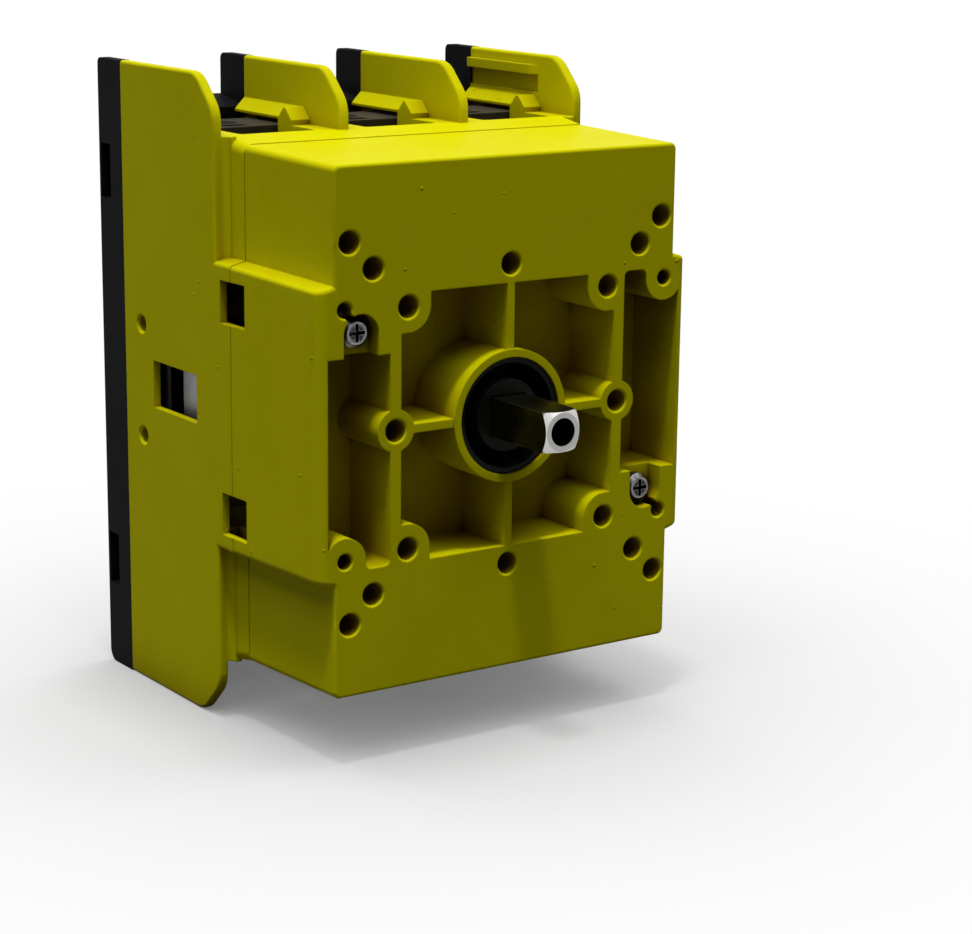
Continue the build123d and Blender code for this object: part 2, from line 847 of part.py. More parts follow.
def bearing_strap():
    """Steel strap that carries the rear end of the hub."""
    ends = strap_screw_z + strap_post_diameter / 2
    sketch = RectangleRounded(strap_width, 2 * ends, strap_corner_radius)
    sketch -= Circle(tail_diameter / 2 + running_fit)
    for z in (-strap_screw_z, strap_screw_z):
        sketch -= Pos(0, z) * Circle(strap_screw_diameter / 2 + running_fit)
    return prism(sketch, strap_front_y, strap_back_y)


def strap_screws():
    """Two screws that hold the bearing strap, driven from behind."""
    screw = cross_head_screw(
        strap_screw_diameter, strap_screw_head_diameter, strap_screw_head_height,
        strap_screw_length,
    )
    flipped = Rot(180, 0, 0) * screw
    return [Pos(0, strap_back_y, z) * flipped for z in (-strap_screw_z, strap_screw_z)]


def cover_screws():
    """Two long screws in the recesses of the front face."""
    screw = cross_head_screw(
        cover_screw_diameter, cover_screw_head_diameter, cover_screw_head_height,
        cover_screw_length,
    )
    right = Pos(cover_screw_x, recess_depth, -cover_screw_z) * screw
    return [right, half_turned(right)]


def housing_screws():
    """Four screws driven through the base from behind."""
    screw = cross_head_screw(
        housing_screw_diameter, housing_screw_head_diameter, housing_screw_head_height,
        housing_screw_length,
    )
    flipped = Rot(180, 0, 0) * screw
    return [Pos(x, housing_seat_y(), z) * flipped for x, z in housing_screw_places()]


def index_leaf_spring():
    """Right hand leaf spring whose bump faces the notches of the index wheel."""
    half = leaf_length / 2
    outer = leaf_bump_radius
    inner = leaf_bump_radius - leaf_thickness
    strip = span(leaf_x, leaf_x + leaf_thickness, -half, half)
    strip -= span(leaf_x - 1, leaf_x + 1, -inner, inner)
    bump = Pos(leaf_x, 0) * (Circle(outer) - Circle(inner))
    bump -= span(leaf_x, leaf_x + 2 * outer, -2 * outer, 2 * outer)
    return prism(strip + bump, wheel_front_y, wheel_front_y + leaf_width)


def contact_carrier():
    """Black crosshead with two follower legs and three pairs of bridge arms."""
    ends = fork_inner_x
    carrier = level_block(ends, crosshead_y, crosshead_back_y, crosshead_height / 2)
    leg = block(
        leg_inner_x, leg_outer_x, leg_front_y, crosshead_y, -leg_height / 2, leg_height / 2
    )
    pin_end = drum_diameter / 2 - groove_depth + fit_gap
    pin_length = leg_inner_x + leg_thickness / 2 - pin_end
    pin = Rot(0, 90, 0) * Cylinder(follower_diameter / 2, pin_length)
    leg += Pos(pin_end + pin_length / 2, follower_y, 0) * pin
    carrier += both_turns(leg)
    for x in pole_centres:
        arms = block(
            x - arm_outer_x, x + arm_outer_x, crosshead_back_y - 1, keeper_back_y,
            -arm_height / 2, arm_height / 2,
        )
        arms -= block(
            x - arm_inner_x, x + arm_inner_x, crosshead_back_y, keeper_y, -arm_height, arm_height
        )
        carrier += arms
    return carrier


def auxiliary_fork():
    """Right hand fork behind the side window, which moves an auxiliary contact's lever."""
    slot_back = fork_end_y - fork_narrow_tine
    slot_front = slot_back - fork_slot
    half_z = fork_height / 2
    plate = block(fork_inner_x, fork_outer_x, crosshead_y, fork_end_y, -half_z, half_z)
    plate -= block(
        fork_inner_x - 1, fork_outer_x + 1, slot_front, slot_back, -half_z + fork_web, half_z + 1
    )
    return plate


def contact_bridge(pole_x):
    """Copper bar with two silver tips that joins the fixed contacts of one pole."""
    half = bridge_length / 2
    sketch = RectangleRounded(bridge_width, 2 * half, bridge_corner_radius)
    bar = prism(sketch, bridge_front_y, bridge_back_y)
    for z in (-tip_pitch / 2, tip_pitch / 2):
        bar += rod(tip_diameter, bridge_back_y, bridge_tip_y, 0, z)
    bar += rod(contact_spring_inner - 4 * running_fit, bridge_front_y - spring_peg, bridge_front_y)
    return Pos(pole_x, 0, 0) * bar


def contact_spring(pole_x):
    """Coil spring between the crosshead and one contact bridge."""
    wire = contact_spring_wire
    length = bridge_front_y - crosshead_back_y
    coil_height = length - wire - 2 * running_fit
    radius = (contact_spring_inner + wire) / 2
    path = Helix(pitch=coil_height / contact_spring_turns, height=coil_height, radius=radius)
    wire_frame = Plane(origin=path @ 0, x_dir=(1, 0, 0), z_dir=path % 0)
    coil = sweep(wire_frame * Circle(wire / 2), path=path, is_frenet=True)
    start = crosshead_back_y + wire / 2 + running_fit
    return Pos(pole_x, 0, 0) * shaft_frame * Pos(0, 0, start) * coil


def line_contact(pole_x):
    """Upper copper strip of one pole with its silver tip."""
    half = strip_width / 2
    strip = block(-half, half, strip_front_y, strip_back_y, strip_inner_z, strip_outer_z)
    tip = rod(tip_diameter, fixed_tip_y, strip_front_y, 0, tip_pitch / 2)
    return Pos(pole_x, 0, 0) * (strip + tip)


def line_arc_plates(pole_x):
    """Stack of steel plates beside the upper contact gap of one pole."""
    half = bay_half - fit_gap
    outer_z = room_half_height - fit_gap
    inner_z = outer_z - plate_height
    sketch = span(-half, half, inner_z, outer_z)
    notch_half = plate_notch_width / 2
    sketch -= span(-notch_half, notch_half, inner_z, inner_z + plate_notch_depth)
    plates = []
    for i in range(plate_count):
        front = plate_front_y + i * plate_pitch
        plates.append(Pos(pole_x, 0, 0) * prism(sketch, front, front + plate_thickness))
    return plates


def line_terminal_block(pole_x):
    """Dark block of one upper terminal with wire entry, driver slot and spring cavity."""
    right = pole_x + well_right - block_right_gap
    left = right - block_width
    centre = (left + right) / 2
    shape = block(left, right, block_front_y, strip_front_y, block_low_z, block_top_z)
    shape += block(
        right, pole_x + bay_half - fit_gap, block_front_y, strip_front_y,
        undercut_low_z + fit_gap, block_top_z,
    )
    shape -= block(
        left + block_wall, right - block_wall, cavity_front_y, strip_front_y + 1,
        block_low_z + block_wall, block_top_z - cavity_top_margin,
    )
    entry = Pos(centre, entry_y, block_top_z - cavity_top_margin) * Cylinder(
        entry_diameter / 2, 3 * cavity_top_margin
    )
    funnel = Pos(centre, entry_y, block_top_z - entry_funnel_depth / 2) * Cone(
        entry_diameter / 2, entry_funnel_diameter / 2, entry_funnel_depth
    )
    slot_half_x = driver_slot_width / 2
    slot_half_y = driver_slot_height / 2
    slot = block(
        centre - slot_half_x, centre + slot_half_x, driver_slot_y - slot_half_y,
        driver_slot_y + slot_half_y, block_top_z - driver_slot_depth, block_top_z + 1,
    )
    return shape - entry - funnel - slot


def line_cage_spring(pole_x):
    """Bent leaf that presses one upper conductor onto its strip."""
    right = pole_x + well_right - block_right_gap - block_wall
    left = right - block_width + 2 * block_wall
    heel_y = cavity_front_y + fit_gap
    heel_z = block_low_z + block_wall + fit_gap
    tip_y = strip_front_y - fit_gap
    tip_z = heel_z + cage_spring_rise
    top_z = block_top_z - cavity_top_margin - cage_spring_clearance
    t = cage_spring_thickness
    outline = polygon([
        (heel_y, top_z), (heel_y, heel_z), (heel_y + t, heel_z), (tip_y, tip_z - t),
        (tip_y, tip_z), (heel_y + t, heel_z + 1.5 * t), (heel_y + t, top_z),
    ])
    return side_prism(outline, left + fit_gap, right - fit_gap)


def write(name, shape):
    """Writes one node, made of one solid or of a list of separate solids."""
    if isinstance(shape, list):
        shape = Compound(children=shape)
    export_step(shape, f"parts/{name}.step")


os.makedirs("parts", exist_ok=True)
write("base", base())
write("middle_housing", middle_housing())
write("mechanism_cover", mechanism_cover())
write("cover_screws", cover_screws())
write("housing_screws", housing_screws())
write("drive_shaft", drive_shaft())
write("rotor_hub", rotor_hub())
write("bearing_strap", bearing_strap())
write("strap_screws", strap_screws())
write("index_spring_right", index_leaf_spring())
write("index_spring_left", half_turned(index_leaf_spring()))
write("contact_carrier", contact_carrier())
write("auxiliary_fork_right", auxiliary_fork())
write("auxiliary_fork_left", half_turned(auxiliary_fork()))
for number, x in enumerate(pole_centres, start=1):
    write(f"contact_bridge_{number}", contact_bridge(x))
    write(f"contact_spring_{number}", contact_spring(x))
    write(f"line_contact_{number}", line_contact(x))
    write(f"load_contact_{number}", half_turned(line_contact(-x)))
    write(f"line_arc_plates_{number}", line_arc_plates(x))
    write(f"load_arc_plates_{number}", [half_turned(p) for p in line_arc_plates(-x)])
    write(f"line_terminal_block_{number}", line_terminal_block(x))
    write(f"load_terminal_block_{number}", half_turned(line_terminal_block(-x)))
    write(f"line_cage_spring_{number}", line_cage_spring(x))
    write(f"load_cage_spring_{number}", half_turned(line_cage_spring(-x)))
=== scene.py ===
import math

import bpy
import numpy as np
from mathutils import Matrix, Vector


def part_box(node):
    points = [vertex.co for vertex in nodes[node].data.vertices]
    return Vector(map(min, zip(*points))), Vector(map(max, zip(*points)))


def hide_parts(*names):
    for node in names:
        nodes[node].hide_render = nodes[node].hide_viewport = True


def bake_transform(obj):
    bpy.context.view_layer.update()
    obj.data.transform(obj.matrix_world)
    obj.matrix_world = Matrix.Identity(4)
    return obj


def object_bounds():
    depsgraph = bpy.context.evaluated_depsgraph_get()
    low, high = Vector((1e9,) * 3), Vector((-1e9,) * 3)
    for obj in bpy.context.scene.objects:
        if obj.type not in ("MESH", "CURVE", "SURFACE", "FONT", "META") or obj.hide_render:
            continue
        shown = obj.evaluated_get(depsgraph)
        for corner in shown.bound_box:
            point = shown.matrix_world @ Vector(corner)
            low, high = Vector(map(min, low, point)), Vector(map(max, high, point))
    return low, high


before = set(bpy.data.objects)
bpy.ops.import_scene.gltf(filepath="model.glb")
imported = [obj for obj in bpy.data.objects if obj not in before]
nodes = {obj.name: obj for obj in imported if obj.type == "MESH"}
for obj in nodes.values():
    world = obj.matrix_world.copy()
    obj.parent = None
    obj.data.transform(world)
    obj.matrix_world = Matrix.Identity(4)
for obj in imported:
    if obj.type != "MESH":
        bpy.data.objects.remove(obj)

cad_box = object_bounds()


# Base

# The base is one black polyamide moulding. Its mould is spark eroded, so every
# face has a fine matt grain, and its edges shine a little where they are handled.
# It is clipped and screwed to the back of the middle housing.

def wire(tree, kind, options=None, inputs=None):
    """Adds one node to a tree, sets its options, and fills its sockets with values or links."""
    node = tree.nodes.new(kind)
    for name, value in (options or {}).items():
        setattr(node, name, value)
    for key, value in (inputs or {}).items():
        if isinstance(value, bpy.types.NodeSocket):
            tree.links.new(value, node.inputs[key])
        else:
            node.inputs[key].default_value = value
    return node


def calc(tree, operation, first, second=0.0, clamp=False):
    """One operation on two numbers, either of which may change over the surface."""
    node = wire(tree, "ShaderNodeMath", {"operation": operation, "use_clamp": clamp},
                {0: first, 1: second})
    return node.outputs[0]


def blend_colours(tree, share, first, second):
    """The first colour where the share is 0, the second where it is 1."""
    node = wire(tree, "ShaderNodeMix", {"data_type": "RGBA"}, {0: share, 6: first, 7: second})
    return node.outputs[2]


def between(tree, value, low, high, new_low=0.0, new_high=1.0):
    """Stretches the span from low to high of a value over a new span, held at both ends."""
    node = wire(tree, "ShaderNodeMapRange", {"clamp": True},
                {"Value": value, "From Min": low, "From Max": high,
                 "To Min": new_low, "To Max": new_high})
    return node.outputs[0]


def effect(name, numbers, results):
    """An empty node group with named inputs and outputs, all of them plain numbers."""
    group = bpy.data.node_groups.new(name, "ShaderNodeTree")
    number = "NodeSocketFloat"
    for label, start in numbers.items():
        socket = group.interface.new_socket(label, in_out="INPUT", socket_type=number)
        socket.default_value = start
    for label in results:
        group.interface.new_socket(label, in_out="OUTPUT", socket_type=number)
    return group, group.nodes.new("NodeGroupInput"), group.nodes.new("NodeGroupOutput")


def make_eroded_grain():
    """Matt grain of a spark eroded mould: two sizes of noise for the height, a wide one for tone."""
    group, given, made = effect("eroded_grain", {"Grains per Metre": 4000.0,
                                                 "Clouds per Metre": 90.0},
                                ["Height", "Tone"])
    place = wire(group, "ShaderNodeTexCoord").outputs["Object"]
    fine = wire(group, "ShaderNodeTexNoise", {}, {
        "Vector": place, "Scale": given.outputs["Grains per Metre"],
        "Detail": 2.0, "Roughness": 0.6})
    wide_to_fine = 0.22
    wide = wire(group, "ShaderNodeTexNoise", {}, {
        "Vector": place, "Detail": 1.0,
        "Scale": calc(group, "MULTIPLY", given.outputs["Grains per Metre"], wide_to_fine)})
    clouds = wire(group, "ShaderNodeTexNoise", {}, {
        "Vector": place, "Scale": given.outputs["Clouds per Metre"],
        "Detail": 3.0, "Roughness": 0.55})
    fine_share, wide_share = 0.6, 0.4
    height = calc(group, "ADD", calc(group, "MULTIPLY", fine.outputs[0], fine_share),
                  calc(group, "MULTIPLY", wide.outputs[0], wide_share))
    group.links.new(height, made.inputs["Height"])
    group.links.new(between(group, clouds.outputs[0], low=0.3, high=0.7), made.inputs["Tone"])
    return group


def make_edge_wear():
    """Worn edges: how far a rounded normal leaves the flat one, broken up by noise."""
    group, given, made = effect("edge_wear", {"Reach": 0.0004, "Breaks per Metre": 700.0},
                                ["Mask"])
    place = wire(group, "ShaderNodeTexCoord").outputs["Object"]
    rounded = wire(group, "ShaderNodeBevel", {"samples": 4},
                   {"Radius": given.outputs["Reach"]}).outputs[0]
    flat = wire(group, "ShaderNodeNewGeometry").outputs["Normal"]
    along = wire(group, "ShaderNodeVectorMath", {"operation": "DOT_PRODUCT"},
                 {0: rounded, 1: flat}).outputs["Value"]
    turn = between(group, along, low=0.995, high=0.86)
    breaks = wire(group, "ShaderNodeTexNoise", {}, {
        "Vector": place, "Scale": given.outputs["Breaks per Metre"],
        "Detail": 3.0, "Roughness": 0.7})
    broken = between(group, breaks.outputs[0], low=0.35, high=0.6, new_low=0.25)
    group.links.new(calc(group, "MULTIPLY", turn, broken), made.inputs["Mask"])
    return group


def make_settled_dust():
    """Dust and finger marks: faint on upright faces, more on those that look up."""
    group, given, made = effect("settled_dust", {"Patches per Metre": 260.0}, ["Mask"])
    place = wire(group, "ShaderNodeTexCoord").outputs["Object"]
    up = wire(group, "ShaderNodeSeparateXYZ", {}, {
        0: wire(group, "ShaderNodeNewGeometry").outputs["Normal"]}).outputs[2]
    patches = wire(group, "ShaderNodeTexNoise", {}, {
        "Vector": place, "Scale": given.outputs["Patches per Metre"],
        "Detail": 4.0, "Roughness": 0.65})
    share = between(group, up, low=-0.2, high=1.0, new_low=0.15)
    patchy = between(group, patches.outputs[0], low=0.45, high=0.75)
    group.links.new(calc(group, "MULTIPLY", share, patchy), made.inputs["Mask"])
    return group


eroded_grain = make_eroded_grain()
edge_wear = make_edge_wear()
settled_dust = make_settled_dust()


def use(tree, group, **numbers):
    """Puts an effect into a material with its own values, and gives back its node."""
    node = wire(tree, "ShaderNodeGroup", {"node_tree": group})
    for label, value in numbers.items():
        node.inputs[label.replace("_", " ")].default_value = value
    return node


def new_material(name):
    """An empty node material with its shader and its output."""
    material = bpy.data.materials.new(name)
    material.use_nodes = True
    tree = material.node_tree
    tree.nodes.clear()
    shader = wire(tree, "ShaderNodeBsdfPrincipled")
    wire(tree, "ShaderNodeOutputMaterial", {}, {"Surface": shader.outputs[0]})
    return material, tree, shader


def connect(tree, shader, tone, matt, relief):
    """Joins a material's colour, roughness and relief to its shader."""
    tree.links.new(tone, shader.inputs["Base Color"])
    tree.links.new(matt, shader.inputs["Roughness"])
    tree.links.new(relief.outputs[0], shader.inputs["Normal"])


def moulded_plastic(name, colour, cloudy_colour, worn_colour, dust_colour, dullness,
                    shine, wear, dust, grains):
    """A moulded plastic: grain in the relief, clouds in the tone, paler edges, a little dust.
    Its roughness swings round the dullness with the clouds, and drops where an edge is worn."""
    swing = 0.04
    polish = 0.15
    material, tree, shader = new_material(name)
    grain = use(tree, eroded_grain, Grains_per_Metre=grains)
    worn = calc(tree, "MULTIPLY", use(tree, edge_wear, Reach=0.00035).outputs["Mask"], wear)
    dusty = calc(tree, "MULTIPLY", use(tree, settled_dust).outputs["Mask"], dust)
    tone = blend_colours(tree, grain.outputs["Tone"], colour, cloudy_colour)
    tone = blend_colours(tree, worn, tone, worn_colour)
    tone = blend_colours(tree, dusty, tone, dust_colour)
    matt = between(tree, grain.outputs["Tone"], 0.0, 1.0, dullness - swing, dullness + swing)
    matt = calc(tree, "SUBTRACT", matt, calc(tree, "MULTIPLY", worn, polish), clamp=True)
    rounded = wire(tree, "ShaderNodeBevel", {"samples": 4}, {"Radius": 0.00025}).outputs[0]
    relief = wire(tree, "ShaderNodeBump", {}, {
        "Strength": 0.35, "Distance": 0.00004, "Height": grain.outputs["Height"],
        "Normal": rounded})
    connect(tree, shader, tone, matt, relief)
    shader.inputs["IOR"].default_value = 1.5
    shader.inputs["Specular IOR Level"].default_value = shine
    return material


def finish_node(name, material):
    """Gives a CAD node's object its finish."""
    for slot in nodes[name].material_slots:
        slot.material = material


base_black = moulded_plastic(
    "base_black_polyamide", (0.0050, 0.0054, 0.0062, 1), (0.0070, 0.0074, 0.0084, 1),
    (0.028, 0.029, 0.032, 1), (0.040, 0.038, 0.034, 1), dullness=0.62, shine=0.025,
    wear=0.5, dust=0.08, grains=3600.0)
finish_node("base", base_black)


# Middle housing

# The middle housing is one bright yellow moulding of glass filled polyamide, with the
# four barriers, the terminal wells and the switching chambers. A few small pips of
# plastic stand on its flat sides, left by pits in the mould.

def make_mould_pips():
    """Pips left by pits in the mould: small domes round some of the points of a sparse pattern.
    A dome's height is one less the square of the distance from its point, in pip sizes."""
    group, given, made = effect("mould_pips", {"Points per Metre": 220.0, "Pip Size": 0.075},
                                ["Height"])
    place = wire(group, "ShaderNodeTexCoord").outputs["Object"]
    points = wire(group, "ShaderNodeTexVoronoi", {"feature": "F1"}, {
        "Vector": place, "Scale": given.outputs["Points per Metre"]})
    chance = wire(group, "ShaderNodeSeparateColor", {}, {0: points.outputs["Color"]}).outputs[0]
    bare_share = 0.45
    kept = calc(group, "GREATER_THAN", chance, bare_share)
    reach = calc(group, "DIVIDE", points.outputs["Distance"], given.outputs["Pip Size"])
    dome = calc(group, "SUBTRACT", 1.0, calc(group, "MULTIPLY", reach, reach), clamp=True)
    group.links.new(calc(group, "MULTIPLY", dome, kept), made.inputs["Height"])
    return group


def make_melt_flow():
    """The slight swell of a moulded face, where the melt has flowed: wide, twisted noise."""
    group, given, made = effect("melt_flow", {"Swells per Metre": 120.0}, ["Height"])
    swell = wire(group, "ShaderNodeTexNoise", {}, {
        "Vector": wire(group, "ShaderNodeTexCoord").outputs["Object"],
        "Scale": given.outputs["Swells per Metre"], "Detail": 2.0, "Distortion": 1.2})
    group.links.new(swell.outputs[0], made.inputs["Height"])
    return group


def make_hollow_shade():
    """Painted shade in hollows: how much of the open space within reach the walls close off."""
    group, given, made = effect("hollow_shade", {"Reach": 0.012, "Open Above": 0.80,
                                                 "Closed Below": 0.20}, ["Mask"])
    space = wire(group, "ShaderNodeAmbientOcclusion", {"samples": 8},
                 {"Distance": given.outputs["Reach"]})
    mask = between(group, space.outputs["AO"], given.outputs["Open Above"],
                   given.outputs["Closed Below"])
    group.links.new(mask, made.inputs["Mask"])
    return group


mould_pips = make_mould_pips()
melt_flow = make_melt_flow()
hollow_shade = make_hollow_shade()


def darken(tree, share, tone, factor):
    """A colour times a factor of its own for each channel, where the share is 1."""
    node = wire(tree, "ShaderNodeMix", {"data_type": "RGBA", "blend_type": "MULTIPLY"},
                {0: share, 6: tone, 7: factor})
    return node.outputs[2]


def yellow_moulding(name, swells_per_metre):
    """Yellow plastic: a saturated tone with painted shade that turns it brown in pockets and near
    black in bores, and a relief of grain, swells and pips. The tone and the grain are those of a
    moulded plastic."""
    material = moulded_plastic(
        name, (0.83, 0.79, 0.0012, 1), (0.79, 0.745, 0.0010, 1), (0.90, 0.87, 0.010, 1),
        (0.52, 0.49, 0.08, 1), dullness=0.46, shine=0.015, wear=0.55, dust=0.02, grains=3000.0)
    tree = material.node_tree
    shader = next(node for node in tree.nodes if node.type == "BSDF_PRINCIPLED")
    tone = shader.inputs["Base Color"].links[0].from_socket
    # Painted shade: the tone is darkened and browned in pockets, and darker still in small bores.
    pocket = use(tree, hollow_shade)
    bore = use(tree, hollow_shade, Reach=0.003, Open_Above=0.45, Closed_Below=0.15)
    tone = darken(tree, pocket.outputs["Mask"], tone, (0.40, 0.27, 0.25, 1))
    tone = darken(tree, bore.outputs["Mask"], tone, (0.22, 0.14, 0.12, 1))
    tree.links.new(tone, shader.inputs["Base Color"])
    swell = wire(tree, "ShaderNodeBump", {}, {
        "Strength": 0.25, "Distance": 0.00012,
        "Height": use(tree, melt_flow, Swells_per_Metre=swells_per_metre).outputs["Height"],
        "Normal": shader.inputs["Normal"].links[0].from_socket})
    relief = wire(tree, "ShaderNodeBump", {}, {
        "Strength": 1.0, "Distance": 0.00020,
        "Height": use(tree, mould_pips).outputs["Height"], "Normal": swell.outputs[0]})
    tree.links.new(relief.outputs[0], shader.inputs["Normal"])
    return material


housing_yellow = yellow_moulding("housing_yellow_polyamide", 120.0)
finish_node("middle_housing", housing_yellow)


# Terminals

# A terminal is a dark phenolic block with a cage spring of stainless steel and the end
# of a copper contact. The block is pressed into its well, the spring hooks round the
# contact, and the contact lies in a groove of the chamber wall.

block_grey = moulded_plastic(
    "terminal_block_grey", (0.034, 0.029, 0.021, 1), (0.045, 0.039, 0.028, 1),
    (0.09, 0.082, 0.06, 1), (0.10, 0.090, 0.07, 1), dullness=0.55, shine=0.08,
    wear=0.5, dust=0.12, grains=2600.0)


def make_drawn_lines():
    """Lines left by a rolling mill or a die: noise stretched along one axis of the piece."""
    group, given, made = effect("drawn_lines", {"Lines per Metre": 5000.0, "Stretch X": 1.0,
                                                "Stretch Y": 1.0, "Stretch Z": 1.0,
                                                "Stains per Metre": 350.0},
                                ["Height", "Tone"])
    place = wire(group, "ShaderNodeTexCoord").outputs["Object"]
    stretch = wire(group, "ShaderNodeCombineXYZ", {}, {
        letter: given.outputs[f"Stretch {letter}"] for letter in "XYZ"})
    pulled = wire(group, "ShaderNodeVectorMath", {"operation": "MULTIPLY"},
                  {0: place, 1: stretch.outputs[0]})
    lines = wire(group, "ShaderNodeTexNoise", {}, {
        "Vector": pulled.outputs[0], "Scale": given.outputs["Lines per Metre"],
        "Detail": 3.0, "Roughness": 0.6})
    stains = wire(group, "ShaderNodeTexNoise", {}, {
        "Vector": place, "Scale": given.outputs["Stains per Metre"],
        "Detail": 4.0, "Roughness": 0.6})
    group.links.new(lines.outputs[0], made.inputs["Height"])
    group.links.new(between(group, stains.outputs[0], low=0.3, high=0.7), made.inputs["Tone"])
    return group


drawn_lines = make_drawn_lines()


def bare_metal(name, colour, stained_colour, worn_colour, dullness, wear, along):
    """A metal: lines of the mill or die along one axis, stains in the tone, brighter edges.
    Its roughness swings round the dullness with the lines, and drops where an edge is worn."""
    long_lines = 0.04
    swing = 0.07
    polish = 0.1
    material, tree, shader = new_material(name)
    stretch = {f"Stretch_{axis}": long_lines if axis == along else 1.0 for axis in "XYZ"}
    lines = use(tree, drawn_lines, **stretch)
    worn = calc(tree, "MULTIPLY", use(tree, edge_wear, Reach=0.00015).outputs["Mask"], wear)
    tone = blend_colours(tree, lines.outputs["Tone"], colour, stained_colour)
    tone = blend_colours(tree, worn, tone, worn_colour)
    matt = between(tree, lines.outputs["Height"], 0.3, 0.7, dullness - swing, dullness + swing)
    matt = calc(tree, "SUBTRACT", matt, calc(tree, "MULTIPLY", worn, polish), clamp=True)
    relief = wire(tree, "ShaderNodeBump", {}, {
        "Strength": 0.3, "Distance": 0.00002, "Height": lines.outputs["Height"]})
    connect(tree, shader, tone, matt, relief)
    shader.inputs["Metallic"].default_value = 1.0
    return material


contact_copper = bare_metal(
    "contact_copper", (0.74, 0.36, 0.22, 1), (0.60, 0.27, 0.16, 1), (0.86, 0.50, 0.34, 1),
    dullness=0.34, wear=0.7, along="Z")
spring_steel = bare_metal(
    "spring_stainless", (0.46, 0.46, 0.45, 1), (0.38, 0.38, 0.37, 1), (0.62, 0.62, 0.61, 1),
    dullness=0.28, wear=0.5, along="X")
arc_plate_steel = bare_metal(
    "arc_plate_zinced_steel", (0.50, 0.51, 0.53, 1), (0.40, 0.41, 0.43, 1),
    (0.66, 0.67, 0.69, 1), dullness=0.42, wear=0.5, along="X")
for pole in range(1, 4):
    for end in ("line", "load"):
        finish_node(f"{end}_terminal_block_{pole}", block_grey)
        finish_node(f"{end}_cage_spring_{pole}", spring_steel)
        finish_node(f"{end}_contact_{pole}", contact_copper)
        finish_node(f"{end}_arc_plates_{pole}", arc_plate_steel)


# Contact carrier

# The carrier is a black moulding that slides in the switching chamber. It holds a copper
# # bridge and a wound spring for each pole, drawn here at rest, though in the real switch it
# # shortens when the bridge is pressed, and at each side a grey fork of pressed steel strip
# # that shows behind the side window.

carrier_black = moulded_plastic(
    "carrier_black_polyester", (0.012, 0.012, 0.013, 1), (0.017, 0.017, 0.018, 1),
    (0.05, 0.05, 0.05, 1), (0.06, 0.058, 0.050, 1), dullness=0.50, shine=0.14,
    wear=0.4, dust=0.04, grains=4200.0)
fork_grey = bare_metal(
    "fork_grey_strip", (0.30, 0.30, 0.30, 1), (0.24, 0.24, 0.24, 1), (0.48, 0.48, 0.48, 1),
    dullness=0.5, wear=0.6, along="Y")
finish_node("contact_carrier", carrier_black)
for side in ("right", "left"):
    finish_node(f"auxiliary_fork_{side}", fork_grey)

spring_wire = 0.0005
spring_turns = 4
steps_per_turn = 40
wire_sides = 10


def wound_spring(name, low, high):
    """A coil spring along Y that fills the box from low to high. Its centre line runs round the
    box's middle at the coil radius and climbs evenly with the angle. Round each point of the
    line stands a ring: the wire's radius times the cosine of the ring angle outwards, plus the
    wire's radius times its sine along Y."""
    coil_radius = (high.x - low.x - spring_wire) / 2
    climb = high.y - low.y - spring_wire
    steps = spring_turns * steps_per_turn
    turn = np.linspace(0.0, 2 * math.pi * spring_turns, steps + 1)
    outward = np.stack([np.cos(turn), np.zeros_like(turn), -np.sin(turn)], 1)
    line = np.mean([tuple(low), tuple(high)], axis=0) + outward * coil_radius
    line[:, 1] = low.y + spring_wire / 2 + climb * np.linspace(0.0, 1.0, steps + 1)
    ring_angle = np.linspace(0.0, 2 * math.pi, wire_sides, endpoint=False)
    ring = (np.cos(ring_angle)[None, :, None] * outward[:, None, :]
            + np.sin(ring_angle)[None, :, None] * np.array([0.0, 1.0, 0.0]))
    points = (line[:, None, :] + ring * spring_wire / 2).reshape(-1, 3)
    side = np.arange(wire_sides)
    ring_start = np.arange(steps)[:, None] * wire_sides
    this_side = ring_start + side
    next_side = ring_start + (side + 1) % wire_sides
    walls = np.stack([this_side, this_side + wire_sides, next_side + wire_sides, next_side], 2)
    end_caps = [side.tolist(), (steps * wire_sides + side[::-1]).tolist()]
    mesh = bpy.data.meshes.new(name)
    mesh.from_pydata(points.tolist(), [], walls.reshape(-1, 4).tolist() + end_caps)
    mesh.polygons.foreach_set("use_smooth", [True] * (steps * wire_sides) + [False, False])
    spring = bpy.data.objects.new(name, mesh)
    bpy.context.scene.collection.objects.link(spring)
    return spring


for pole in range(1, 4):
    finish_node(f"contact_bridge_{pole}", contact_copper)
    low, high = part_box(f"contact_spring_{pole}")
    spring = wound_spring(f"wound_spring_{pole}", low, high)
    spring.data.materials.append(spring_steel)
    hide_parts(f"contact_spring_{pole}")
    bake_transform(spring)


# Rotor hub and index springs

# The hub is a black moulding with an index wheel and a cam drum in one piece. A steel
# strap with two screws holds it in the cover, and two leaf springs of hardened strip
# press on the wheel's notches.

hub_black = moulded_plastic(
    "hub_black_acetal", (0.0050, 0.0056, 0.0042, 1), (0.0075, 0.0082, 0.0060, 1),
    (0.022, 0.022, 0.019, 1), (0.03, 0.029, 0.02, 1), dullness=0.42, shine=0.06,
    wear=0.5, dust=0.05, grains=5200.0)
strap_steel = bare_metal(
    "strap_zinced_steel", (0.52, 0.53, 0.55, 1), (0.43, 0.44, 0.46, 1), (0.70, 0.71, 0.73, 1),
    dullness=0.38, wear=0.5, along="Z")
finish_node("rotor_hub", hub_black)
finish_node("bearing_strap", strap_steel)
for side in ("right", "left"):
    finish_node(f"index_spring_{side}", spring_steel)


# Mechanism cover

# The cover is the second yellow moulding, and carries the shaft's bearing ring. Its front
# is cored out between thin ribs that carry the fixing bosses, and its top face is plain.

cover_yellow = yellow_moulding("cover_yellow_polyamide", 95.0)
finish_node("mechanism_cover", cover_yellow)


# Screws

# The screws are zinc plated steel with a pan head and a cross recess. Two of them go down
# the recesses in the cover's face, four come through the base from behind, and two small
# ones hold the strap.

